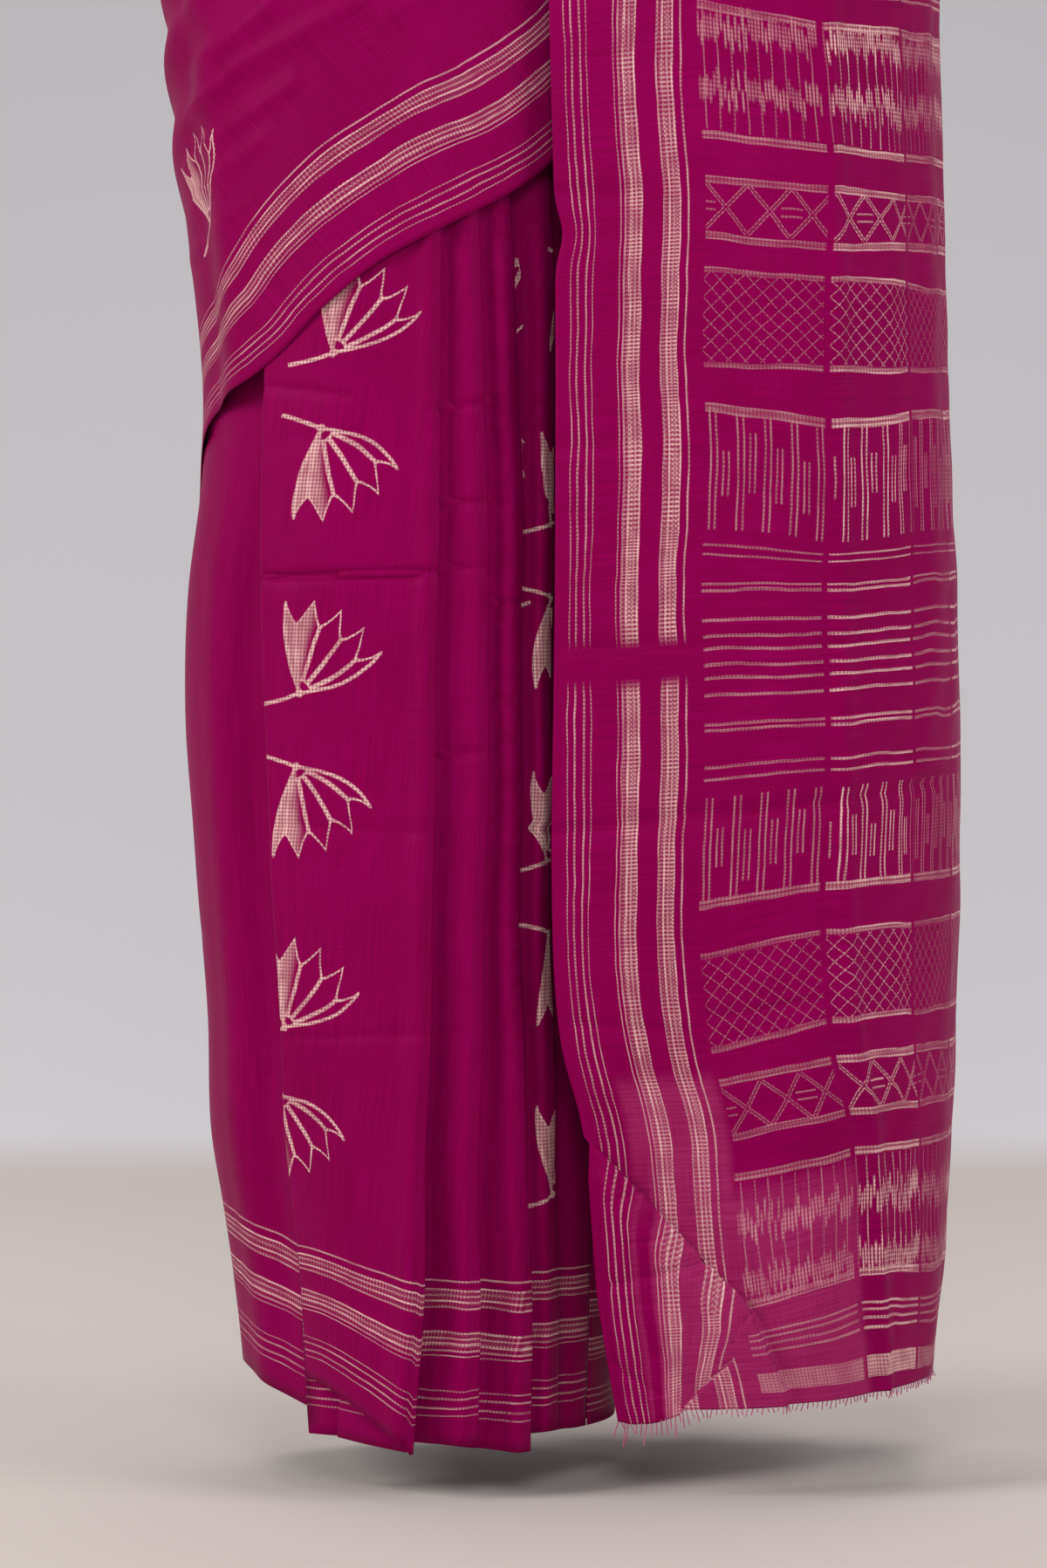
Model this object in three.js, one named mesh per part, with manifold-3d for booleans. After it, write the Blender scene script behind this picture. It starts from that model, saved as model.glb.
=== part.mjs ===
// A silk saree worn in the nivi way, held by its wearer's waist, left shoulder and left forearm.
// Millimetres, +Z up, front towards -Y, the wearer's left towards +X. The origin is the middle of the waist tuck.
// One length of cloth goes round the legs, folds into five knife pleats, goes round the hips,
// crosses the front up to the left shoulder, and falls over the left arm as the end piece, which is fringed.
import * as THREE from "three";
import { mergeVertices } from "three/addons/utils/BufferGeometryUtils.js";
import Module from "manifold-3d";

// Cloth
const WALL = 1.2;
const SEAM_GAP = 0.3;
const HIP_LIFT = 5;

// Heights above and below the waist tuck
const WAIST_Z = 0;
const HEM_Z = -1066;
const END_Z = -1036;

// The general figure under the cloth, a row for each level, from the hem to the shoulders
const FIGURE = [
  { z: -1090, halfWidth: 119, front: 116, back: 112, shift: 6 },
  { z: -1030, halfWidth: 122, front: 118, back: 112, shift: 5 },
  { z: -967, halfWidth: 127, front: 119, back: 112, shift: 3 },
  { z: -926, halfWidth: 132, front: 120, back: 112, shift: 2 },
  { z: -874, halfWidth: 138, front: 121, back: 112, shift: 0 },
  { z: -800, halfWidth: 140, front: 122, back: 113, shift: 0 },
  { z: -700, halfWidth: 148, front: 122, back: 114, shift: 0 },
  { z: -600, halfWidth: 153, front: 122, back: 115, shift: 0 },
  { z: -520, halfWidth: 151, front: 121, back: 116, shift: 0 },
  { z: -448, halfWidth: 142, front: 120, back: 118, shift: 0 },
  { z: -380, halfWidth: 138, front: 120, back: 120, shift: 0 },
  { z: -294, halfWidth: 142, front: 119, back: 123, shift: 0 },
  { z: -200, halfWidth: 150, front: 117, back: 127, shift: 0 },
  { z: -120, halfWidth: 155, front: 113, back: 124, shift: 0 },
  { z: -50, halfWidth: 148, front: 106, back: 108, shift: 0 },
  { z: 20, halfWidth: 132, front: 98, back: 94, shift: 0 },
  { z: 100, halfWidth: 120, front: 93, back: 86, shift: 0 },
  { z: 190, halfWidth: 128, front: 103, back: 89, shift: 0 },
  { z: 265, halfWidth: 142, front: 119, back: 95, shift: 0 },
  { z: 320, halfWidth: 150, front: 118, back: 96, shift: 0 },
  { z: 365, halfWidth: 154, front: 101, back: 90, shift: 0 },
  { z: 400, halfWidth: 152, front: 74, back: 74, shift: 0 },
  { z: 430, halfWidth: 144, front: 48, back: 48, shift: 0 },
];

// Front pleats, where each folded edge and the hidden fold behind it lie, a row for each level.
// left1 is the open side of the widest pleat and right1 to right4 are the folded edges, across the front.
const PLEAT_LEVELS = [
  { z: 0, left1: -72, right1: 20, right2: 36, right3: 50, right4: 64 },
  { z: -150, left1: -86, right1: 18, right2: 38, right3: 57, right4: 80 },
  { z: -307, left1: -94, right1: 17, right2: 42, right3: 63, right4: 89 },
  { z: -474, left1: -100, right1: 15.5, right2: 46.5, right3: 69, right4: 89.5 },
  { z: -613, left1: -97, right1: 13.5, right2: 47.5, right3: 68.5, right4: 88.5 },
  { z: -753, left1: -90, right1: 12, right2: 45, right3: 69, right4: 88.5 },
  { z: -865, left1: -84.5, right1: 8.5, right2: 42.5, right3: 72, right4: 91 },
  { z: -948, left1: -78, right1: 7, right2: 42, right3: 75, right4: 92 },
  { z: -1066, left1: -70.5, right1: 0, right2: 41.5, right3: 75.5, right4: 92.5 },
];

// How far each pleat stands out of the figure, and how round its folded edge is, at the waist and at the hem.
// hidden is the height of the fold tucked behind the pleat before it, and drop how much lower its hem hangs.
const PLEATS = [
  { edge: "right1", outTop: 21, outHem: 44, roundTop: 1, roundHem: 6, hiddenTop: 20, hiddenHem: 8, drop: 5 },
  { edge: "right2", outTop: 17, outHem: 34, roundTop: 1, roundHem: 5, hiddenTop: 18, hiddenHem: 11, drop: 0 },
  { edge: "right3", outTop: 13, outHem: 26, roundTop: 1, roundHem: 4, hiddenTop: 14, hiddenHem: 9, drop: 8 },
  { edge: "right4", outTop: 9, outHem: 18, roundTop: 1, roundHem: 3, hiddenTop: 10, hiddenHem: 6.5, drop: -4 },
  { edge: "end", outTop: HIP_LIFT, outHem: HIP_LIFT, roundTop: 1, roundHem: 1, hiddenTop: 6, hiddenHem: 4.5, drop: 0 },
];
const PLEAT_FIRST_ROUND = 1.2;
const PLEAT_FOLD_ROUND = 1;
const SEAM_TURN = 0.3;
const SEAM_ROWS = 11;
const PLEAT_HIDDEN_TOP = 62;
const PLEAT_HIDDEN_HEM = 50;
const PLEAT_UNDERLAY_TOP = 60;
const PLEAT_UNDERLAY_HEM = 105;
const PLEAT_UNDERLAY_OUT = 3.6;
const PLEAT_OPEN_Z = -300;
const PLEAT_HEM_RISE = 38;
const PLEAT_RISE_Z = -746;

// The outer cloth, from the last pleat round the hips and up to the shoulder, a row for each station.
// Angles run from the front, 0, by the wearer's left, 90, the back, 180, and the right, 270, to the front again.
const OUTER = [
  { lowAngle: 58, lowZ: -1066, topAngle: 50, topZ: 0 },
  { lowAngle: 92, lowZ: -1066, topAngle: 90, topZ: 2 },
  { lowAngle: 130, lowZ: -1062, topAngle: 130, topZ: 5 },
  { lowAngle: 165, lowZ: -1032, topAngle: 165, topZ: 12 },
  { lowAngle: 200, lowZ: -935, topAngle: 194, topZ: 30 },
  { lowAngle: 230, lowZ: -770, topAngle: 217, topZ: 55 },
  { lowAngle: 252, lowZ: -590, topAngle: 234, topZ: 82 },
  { lowAngle: 272, lowZ: -424, topAngle: 249, topZ: 110 },
  { lowAngle: 319, lowZ: -366, topAngle: 264, topZ: 140 },
  { lowAngle: 338, lowZ: -329, topAngle: 278, topZ: 170 },
  { lowAngle: 352, lowZ: -303, topAngle: 291, topZ: 198 },
  { lowAngle: 365, lowZ: -287, topAngle: 304, topZ: 226 },
  { lowAngle: 383, lowZ: -260, topAngle: 320, topZ: 260 },
  { lowAngle: 394, lowZ: -236, topAngle: 331, topZ: 286 },
  { lowAngle: 408, lowZ: -196, topAngle: 344, topZ: 314 },
  { lowAngle: 424, lowZ: -138, topAngle: 356, topZ: 340 },
  { lowAngle: 437, lowZ: -50, topAngle: 367, topZ: 364 },
  { lowAngle: 441, lowZ: 60, topAngle: 377, topZ: 383 },
  { lowAngle: 436, lowZ: 180, topAngle: 385, topZ: 397 },
  { lowAngle: 428, lowZ: 290, topAngle: 391, topZ: 408 },
  { lowAngle: 422, lowZ: 350, topAngle: 395, topZ: 416 },
];
const HIP_END_STATION = 6.5;
const DRAPE_END_STATION = 20;
const DRAPE_LIFT = 10;
const PLEAT_COVER = 16;
const LOW_EDGE_HUG = 5;

// Tension folds of the outer cloth over the right hip: across is the share of the width from the lower border
const DRAPE_FOLDS = [
  { across: 0.34, halfWidth: 0.035, height: 5, peak: 7.6, reach: 3.2 },
  { across: 0.44, halfWidth: 0.032, height: 6, peak: 7.9, reach: 3.6 },
  { across: 0.54, halfWidth: 0.034, height: 6, peak: 8.3, reach: 4.2 },
  { across: 0.65, halfWidth: 0.036, height: 6, peak: 9.0, reach: 5.0 },
  { across: 0.77, halfWidth: 0.04, height: 6, peak: 10.5, reach: 6.5 },
  { across: 0.89, halfWidth: 0.035, height: 5, peak: 13.0, reach: 7.5 },
];

// The end piece in sections from the back of the shoulder to the floor, each an open C round the left arm.
// It runs from its left border over the front to the outer side, then behind the arm to its inner edge.
const END_SECTIONS = [
  { zLeft: 345, zOuter: 352, zInner: 372, leftX: 168, leftY: 64, frontX: 155, frontY: 72, outerX: 140, outerY: 78,
    backX: 118, backY: 84, innerX: 72, innerY: 90 },
  { zLeft: 272, zOuter: 264, zInner: 286, leftX: 177, leftY: 66, frontX: 205, frontY: 84, outerX: 210, outerY: 100,
    backX: 168, backY: 114, innerX: 68, innerY: 118 },
  { zLeft: 192, zOuter: 176, zInner: 190, leftX: 168, leftY: 34, frontX: 262, frontY: 50, outerX: 284, outerY: 86,
    backX: 245, backY: 132, innerX: 64, innerY: 136 },
  { zLeft: 142, zOuter: 108, zInner: 100, leftX: 128, leftY: -46, frontX: 278, frontY: -30, outerX: 325, outerY: 46,
    backX: 290, backY: 144, innerX: 62, innerY: 150 },
  { zLeft: 106, zOuter: 62, zInner: 30, leftX: 98, leftY: -112, frontX: 272, frontY: -100, outerX: 340, outerY: 0,
    backX: 312, backY: 140, innerX: 60, innerY: 158 },
  { zLeft: 40, zOuter: 0, zInner: -40, leftX: 88, leftY: -137, frontX: 262, frontY: -141, outerX: 340, outerY: -30,
    backX: 318, backY: 128, innerX: 60, innerY: 162 },
  { zLeft: -126, zOuter: -140, zInner: -160, leftX: 86, leftY: -141, frontX: 258, frontY: -150, outerX: 339, outerY: -42,
    backX: 316, backY: 118, innerX: 60, innerY: 164 },
  { zLeft: -300, zOuter: -305, zInner: -315, leftX: 90, leftY: -142, frontX: 259, frontY: -150, outerX: 343, outerY: -44,
    backX: 318, backY: 114, innerX: 58, innerY: 162 },
  { zLeft: -520, zOuter: -520, zInner: -520, leftX: 90, leftY: -143, frontX: 262, frontY: -150, outerX: 352, outerY: -45,
    backX: 324, backY: 112, innerX: 56, innerY: 156 },
  { zLeft: -700, zOuter: -700, zInner: -700, leftX: 88, leftY: -143, frontX: 264, frontY: -151, outerX: 354, outerY: -45,
    backX: 325, backY: 112, innerX: 56, innerY: 152 },
  { zLeft: -800, zOuter: -800, zInner: -800, leftX: 93, leftY: -142, frontX: 265, frontY: -151, outerX: 352, outerY: -45,
    backX: 324, backY: 112, innerX: 58, innerY: 150 },
  { zLeft: -870, zOuter: -870, zInner: -870, leftX: 109, leftY: -140, frontX: 265, frontY: -151, outerX: 350, outerY: -45,
    backX: 322, backY: 112, innerX: 60, innerY: 150 },
  { zLeft: -975, zOuter: -972, zInner: -972, leftX: 118, leftY: -138, frontX: 263, frontY: -151, outerX: 345, outerY: -45,
    backX: 318, backY: 112, innerX: 64, innerY: 150 },
  { zLeft: -1044, zOuter: -1035, zInner: -1036, leftX: 131, leftY: -136, frontX: 260, frontY: -150, outerX: 339, outerY: -44,
    backX: 312, backY: 112, innerX: 66, innerY: 150 },
];
// Share of the width, before its folds, at which each column of a section lies
const END_SHARES = { left: 0, front: 0.245, outer: 0.42, back: 0.63, inner: 1 };
const END_RIDGE_ROW = 5;
const END_LAST_ROW = END_SECTIONS.length - 1;
const BACK_FOLDS = 5;
const BACK_FOLD_START = 0.5;
const BACK_FOLD_TOP = 3;
const BACK_FOLD_HEM = 14;

// Fringe along the end
const FRINGE_STRIP = 2;
const FRINGE_THICK = 1;
const FRINGE_STRANDS = 58;
const FRINGE_LENGTH = 8;
const FRINGE_CORNER_LENGTH = 15;
const FRINGE_STRAND_R = 0.7;

const CLOTH = { color: 0x8c0048, roughness: 0.62, metalness: 0 };
const END_CLOTH = { color: 0x93094f, roughness: 0.66, metalness: 0 };
const FRINGE_CLOTH = { color: 0xa8386f, roughness: 0.8, metalness: 0 };

const rad = (degrees) => (degrees * Math.PI) / 180;
const mix = (a, b, share) => a + (b - a) * share;
const clamp01 = (x) => Math.min(1, Math.max(0, x));
const smooth = (from, to, x) => {
  const share = clamp01((x - from) / (to - from));
  return share * share * (3 - 2 * share);
};
const bell = (x, centre, halfWidth) => Math.exp(-(((x - centre) / halfWidth) ** 2));

// A smooth curve through one column of a table, read at x on its key column
function read(rows, key, column, x) {
  const rising = rows[rows.length - 1][key] > rows[0][key];
  const last = rows.length - 2;
  let i = 0;
  while (i < last && (rising ? x > rows[i + 1][key] : x < rows[i + 1][key])) i++;
  const slope = (k) => {
    const a = rows[Math.max(0, k - 1)];
    const b = rows[Math.min(rows.length - 1, k + 1)];
    return (b[column] - a[column]) / (b[key] - a[key]);
  };
  const [p, q] = [rows[i], rows[i + 1]];
  const span = q[key] - p[key];
  const t = clamp01((x - p[key]) / span);
  const [t2, t3] = [t * t, t * t * t];
  return (
    (2 * t3 - 3 * t2 + 1) * p[column] +
    (t3 - 2 * t2 + t) * span * slope(i) +
    (3 * t2 - 2 * t3) * q[column] +
    (t3 - t2) * span * slope(i + 1)
  );
}
const numbered = (rows) => rows.map((row, i) => ({ ...row, row: i }));
const OUTER_ROWS = numbered(OUTER);
const END_ROWS = numbered(END_SECTIONS);

// A point on the figure at an angle from the front and a height, moved out by lift
function onFigure(angle, z, lift) {
  const halfWidth = read(FIGURE, "z", "halfWidth", z);
  const [s, c] = [Math.sin(rad(angle)), Math.cos(rad(angle))];
  const depth = mix(read(FIGURE, "z", "back", z), read(FIGURE, "z", "front", z), smooth(-0.35, 0.35, c));
  const outward = new THREE.Vector2(s / halfWidth, -c / depth).normalize();
  return new THREE.Vector3(
    read(FIGURE, "z", "shift", z) + halfWidth * s + outward.x * lift,
    -depth * c + outward.y * lift,
    z,
  );
}

// A point at a distance in front of the figure, at its own distance x across the front
function beforeFigure(x, z, lift) {
  const halfWidth = read(FIGURE, "z", "halfWidth", z);
  let p = new THREE.Vector3(x, 0, z);
  let base = x;
  for (let i = 0; i < 6; i++) {
    base -= p.x - x;
    const share = (base - read(FIGURE, "z", "shift", z)) / halfWidth;
    p = onFigure((Math.asin(Math.min(0.99, Math.max(-0.99, share))) * 180) / Math.PI, z, lift);
  }
  return p;
}

// A closed wall of the cloth's thickness round a grid of points on its middle surface
function wall(grid, ring = false, thick = WALL) {
  const rows = grid.length;
  const columns = grid[0].length;
  const at = (j, i) => grid[j][ring ? (i + columns) % columns : Math.min(columns - 1, Math.max(0, i))];
  const positions = [];
  for (const side of [1, -1]) {
    for (let j = 0; j < rows; j++) {
      for (let i = 0; i < columns; i++) {
        const along = at(j, i + 1).clone().sub(at(j, i - 1));
        const up = at(Math.min(rows - 1, j + 1), i).clone().sub(at(Math.max(0, j - 1), i));
        const p = along.cross(up).normalize().multiplyScalar((side * thick) / 2).add(at(j, i));
        positions.push(p.x, p.y, p.z);
      }
    }
  }
  const front = (j, i) => j * columns + (ring ? i % columns : i);
  const back = (j, i) => rows * columns + front(j, i);
  const faces = [];
  const quad = (a, b, c, d) => faces.push(a, b, c, a, c, d);
  const spans = ring ? columns : columns - 1;
  for (let j = 0; j < rows - 1; j++) {
    for (let i = 0; i < spans; i++) {
      quad(front(j, i), front(j, i + 1), front(j + 1, i + 1), front(j + 1, i));
      quad(back(j, i), back(j + 1, i), back(j + 1, i + 1), back(j, i + 1));
    }
  }
  for (let i = 0; i < spans; i++) {
    quad(front(0, i + 1), front(0, i), back(0, i), back(0, i + 1));
    quad(front(rows - 1, i), front(rows - 1, i + 1), back(rows - 1, i + 1), back(rows - 1, i));
  }
  if (!ring) {
    for (let j = 0; j < rows - 1; j++) {
      quad(front(j, 0), front(j + 1, 0), back(j + 1, 0), back(j, 0));
      quad(front(j + 1, columns - 1), front(j, columns - 1), back(j, columns - 1), back(j + 1, columns - 1));
    }
  }
  const geometry = new THREE.BufferGeometry();
  geometry.setAttribute("position", new THREE.Float32BufferAttribute(positions, 3));
  geometry.setIndex(signedVolume(positions, faces) > 0 ? faces : faces.reverse());
  return geometry;
}

function signedVolume(positions, faces) {
  const corner = (k) => new THREE.Vector3().fromArray(positions, 3 * faces[k]);
  let sum = 0;
  for (let k = 0; k < faces.length; k += 3) sum += corner(k).dot(corner(k + 1).cross(corner(k + 2)));
  return sum;
}

const steps = (from, to, count) => Array.from({ length: count + 1 }, (_, i) => mix(from, to, i / count));
const gridOf = (rows, columns, point) => rows.map((v) => columns.map((u) => point(u, v)));

// The first turn of the cloth round the legs, a full ring, with the groove beside the widest pleat
function innerWrap() {
  const hem = (angle) => {
    const turned = angle > 180 ? angle - 360 : angle;
    return HEM_Z + 3 + 33 * bell(turned, -82, 46);
  };
  const point = (angle, share) => {
    const turned = angle > 180 ? angle - 360 : angle;
    const z = mix(WAIST_Z, hem(angle), share);
    const low = smooth(-400, -520, z);
    const groove = -7 * bell(turned, -45, 6) * low * smooth(-1090, -800, z) + 3 * bell(turned, -58, 7) * low;
    return onFigure(angle, z, groove);
  };
  const angles = steps(0, 360, 48).slice(0, -1);
  return wall(gridOf(steps(0, 1, 10), angles, point), true);
}

// Where the last pleat ends and the hip wrap starts: the angle of the wrap's first station at a height
function seamAngle(z) {
  const { lowAngle, lowZ, topAngle, topZ } = OUTER[0];
  return mix(lowAngle, topAngle, (z - lowZ) / (topZ - lowZ));
}

// Half a turn of a fold in a section: from its front to its back, by the side that it points to
function foldPoints(x, out, round, side, frontFirst, count, front, drop) {
  return steps(0, 1, count).map((share) => {
    const turn = Math.PI * (frontFirst ? share : 1 - share);
    return { x: x + side * round * Math.sin(turn), out: out + round * Math.cos(turn), front, drop };
  });
}

// The pleats' section at a height: one path, from the underlay of the widest pleat to the last pleat's end
function pleatPath(z) {
  const open = smooth(PLEAT_OPEN_Z, HEM_Z, z) * smooth(PLEAT_OPEN_Z, HEM_Z, z);
  const seam = onFigure(seamAngle(z) - SEAM_TURN, z, HIP_LIFT).x;
  const level = (column) => (column === "end" ? seam : read(PLEAT_LEVELS, "z", column, z));
  const hiddenWidth = mix(PLEAT_HIDDEN_TOP, PLEAT_HIDDEN_HEM, open);
  const underlay = mix(PLEAT_UNDERLAY_TOP, PLEAT_UNDERLAY_HEM, open);
  const path = [];
  PLEATS.forEach((pleat, k) => {
    const out = mix(pleat.outTop, pleat.outHem, open);
    const round = mix(pleat.roundTop, pleat.roundHem, open);
    const hidden = mix(pleat.hiddenTop, pleat.hiddenHem, open);
    const edge = level(pleat.edge);
    if (k === 0) {
      const left = level("left1");
      path.push({ x: left + underlay, out: PLEAT_UNDERLAY_OUT, front: 0, drop: 0 });
      const first = PLEAT_FIRST_ROUND;
      face(path, { x: left + first, out: hidden - first, front: 0, drop: 0 }, 3);
      path.push(...foldPoints(left + first, hidden, first, -1, false, 3, 1, 0).slice(1));
      face(path, { x: edge - round, out, front: 1, drop: pleat.drop }, 6);
    } else {
      const left = level(PLEATS[k - 1].edge) - hiddenWidth;
      face(path, { x: left + PLEAT_FOLD_ROUND, out: hidden + PLEAT_FOLD_ROUND, front: 0, drop: 0 }, 4);
      path.push(...foldPoints(left + PLEAT_FOLD_ROUND, hidden, PLEAT_FOLD_ROUND, -1, true, 3, 0, 0).slice(1));
      const last = pleat.edge === "end";
      face(path, { x: edge - (last ? 0 : round), out, front: 0, drop: pleat.drop }, last ? 8 : 5);
    }
    if (pleat.edge !== "end") {
      path.push(...foldPoints(edge - round, out - round, round, 1, true, 4, 0, pleat.drop).slice(1));
    }
  });
  return path;
}
function face(path, to, count) {
  const from = path[path.length - 1];
  for (const share of steps(0, 1, count).slice(1)) {
    const between = Object.keys(to).map((name) => [name, mix(from[name], to[name], share)]);
    path.push(Object.fromEntries(between));
  }
}

function frontPleats() {
  const grid = steps(0, 1, SEAM_ROWS).map((share) => {
    const level = mix(WAIST_Z, HEM_Z, share);
    const low = clamp01((PLEAT_RISE_Z - level) / (PLEAT_RISE_Z - HEM_Z)) ** 2;
    return pleatPath(level).map(({ x, out, front, drop }) => {
      const z = level + low * (PLEAT_HEM_RISE * front * smooth(20, -76, x) - drop);
      return beforeFigure(x, z, out);
    });
  });
  return wall(grid);
}

// The outer cloth at a station along its length and a share of its width from the lower border
function outerPoint(station, across) {
  const column = (name) => read(OUTER_ROWS, "row", name, station);
  const angle = mix(column("lowAngle"), column("topAngle"), across);
  const z = mix(column("lowZ"), column("topZ"), across);
  const turned = angle > 300 ? angle - 360 : -180;
  const overPleats = smooth(-66, -50, turned) * smooth(66, 46, turned) * smooth(70, 0, z);
  let lift = mix(HIP_LIFT, DRAPE_LIFT, smooth(4, 8, station)) + PLEAT_COVER * overPleats;
  lift -= LOW_EDGE_HUG * bell(station, 6.8, 1.9) * smooth(0.3, 0, across);
  for (const fold of DRAPE_FOLDS) {
    lift += fold.height * bell(across, fold.across, fold.halfWidth) * bell(station, fold.peak, fold.reach);
  }
  return onFigure(angle, z, lift);
}

// From the last pleat round the wearer's left and back to the right hip
function hipWrap() {
  return wall(gridOf(steps(0, 1, SEAM_ROWS), steps(0, HIP_END_STATION, 30), outerPoint));
}

// From the right hip across the front to the left shoulder
function bodyDrape() {
  const startGap = 0.03;
  const stations = steps(HIP_END_STATION + startGap, DRAPE_END_STATION, 34);
  return wall(gridOf(steps(0, 1, 18), stations, outerPoint));
}

// A point of the end piece: row runs down its sections, share runs across it from the left border
function endPoint(row, share) {
  const column = (name) => read(END_ROWS, "row", name, row);
  const columns = Object.entries(END_SHARES).map(([name, at]) => ({
    at,
    x: column(name + "X"),
    y: column(name + "Y"),
  }));
  const heights = [
    { at: 0, z: column("zLeft") },
    { at: END_SHARES.outer, z: column("zOuter") },
    { at: 1, z: column("zInner") },
  ];
  const place = (at) =>
    new THREE.Vector3(read(columns, "at", "x", at), read(columns, "at", "y", at), read(heights, "at", "z", at));
  const p = place(share);
  const ahead = place(Math.min(1, share + 0.01));
  const behind = place(Math.max(0, share - 0.01));
  const outward = new THREE.Vector2(-(ahead.y - behind.y), ahead.x - behind.x).normalize();
  const turns = BACK_FOLDS * ((share - BACK_FOLD_START) / (1 - BACK_FOLD_START));
  const height = mix(BACK_FOLD_TOP, BACK_FOLD_HEM, smooth(0, 7, row)) * smooth(BACK_FOLD_START, 0.62, share);
  const wave = height * Math.sin(2 * Math.PI * turns);
  return new THREE.Vector3(p.x - outward.x * wave, p.y - outward.y * wave, p.z);
}
const endShares = () => [...steps(0, BACK_FOLD_START, 14), ...steps(BACK_FOLD_START, 1, BACK_FOLDS * 6).slice(1)];

// Over the shoulder, from the end of the front drape to the top of the end piece
function shoulderFold() {
  const alongGap = 0.004;
  const point = (along, across) => {
    const start = outerPoint(DRAPE_END_STATION, across);
    const before = outerPoint(DRAPE_END_STATION - 0.3, across);
    const end = endPoint(0, across);
    const after = endPoint(0.1, across);
    const leave = start.clone().sub(before).normalize().multiplyScalar(mix(190, 120, across));
    const arrive = after.clone().sub(end).normalize().multiplyScalar(mix(210, 150, across));
    const [t, t2, t3] = [along, along * along, along ** 3];
    return start
      .clone()
      .multiplyScalar(2 * t3 - 3 * t2 + 1)
      .addScaledVector(leave, t3 - 2 * t2 + t)
      .addScaledVector(end, 3 * t2 - 2 * t3)
      .addScaledVector(arrive, t3 - t2);
  };
  return wall(gridOf(steps(0, 1, 24), steps(alongGap, 1 - 2 * alongGap, 9), (along, across) => point(along, across)));
}

// Behind the upper arm and over the forearm
function armFall() {
  const rows = steps(0, END_RIDGE_ROW - 0.004, 10);
  return wall(gridOf(rows, endShares(), (share, row) => endPoint(row, share)));
}

// The hanging end, round the left side
function endPiece() {
  const rows = steps(END_RIDGE_ROW, END_LAST_ROW, 10);
  return wall(gridOf(rows, endShares(), (share, row) => endPoint(row, share)));
}

// Short threads along the end, rooted in a narrow strip just below the cloth's edge
async function fringe() {
  const wasm = await Module();
  wasm.setup();
  const solid = (geometry) => {
    const bare = new THREE.BufferGeometry();
    bare.setAttribute("position", geometry.toNonIndexed().getAttribute("position"));
    const merged = mergeVertices(bare, 1e-4);
    return new wasm.Manifold(
      new wasm.Mesh({
        numProp: 3,
        vertProperties: merged.attributes.position.array,
        triVerts: new Uint32Array(merged.index.array),
      }),
    );
  };
  const shares = endShares();
  const edge = shares.map((share) => endPoint(END_LAST_ROW, share));
  const below = (share, drop) => {
    const i = Math.min(shares.length - 2, shares.findLastIndex((start) => start <= share));
    const along = (share - shares[i]) / (shares[i + 1] - shares[i]);
    return edge[i].clone().lerp(edge[i + 1], along).add(new THREE.Vector3(0, 0, -drop));
  };
  const stripTop = SEAM_GAP + 0.1;
  let joined = solid(
    wall(gridOf([stripTop, stripTop + FRINGE_STRIP], shares, below), false, FRINGE_THICK),
  );
  for (let k = 0; k < FRINGE_STRANDS; k++) {
    const share = (k + 0.5) / FRINGE_STRANDS;
    const uneven = 0.7 + 0.3 * Math.sin(k * 2.4) * Math.cos(k * 0.9);
    const length = uneven * mix(FRINGE_LENGTH, FRINGE_CORNER_LENGTH, smooth(0.12, 0.02, share));
    const root = below(share, stripTop + FRINGE_STRIP / 2);
    const strand = new THREE.CylinderGeometry(FRINGE_STRAND_R, FRINGE_STRAND_R * 0.5, length, 3, 1);
    strand.rotateX(Math.PI / 2);
    strand.translate(0, 0, -length / 2);
    strand.rotateY(0.25 * Math.sin(k * 1.7));
    strand.rotateX(0.2 * Math.cos(k * 2.9));
    strand.translate(root.x, root.y, root.z);
    joined = joined.add(solid(strand));
  }
  const mesh = joined.getMesh();
  const geometry = new THREE.BufferGeometry();
  geometry.setAttribute("position", new THREE.BufferAttribute(new Float32Array(mesh.vertProperties), 3));
  geometry.setIndex(new THREE.BufferAttribute(new Uint32Array(mesh.triVerts), 1));
  return geometry;
}

const saree = new THREE.Group();
function piece(name, geometry, finish) {
  const mesh = new THREE.Mesh(geometry, new THREE.MeshStandardMaterial(finish));
  mesh.name = name;
  saree.add(mesh);
}
piece("inner_wrap", innerWrap(), CLOTH);
piece("front_pleats", frontPleats(), CLOTH);
piece("hip_wrap", hipWrap(), CLOTH);
piece("body_drape", bodyDrape(), CLOTH);
piece("shoulder_fold", shoulderFold(), CLOTH);
piece("arm_fall", armFall(), END_CLOTH);
piece("end_piece", endPiece(), END_CLOTH);
piece("end_fringe", await fringe(), FRINGE_CLOTH);

export default saree;
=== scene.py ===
"""A magenta silk saree in stitch-resist work, worn in the nivi way. Forms in millimetres, scene in metres."""

import bpy
import math
import numpy as np
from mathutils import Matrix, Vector
from mathutils.kdtree import KDTree


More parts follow.
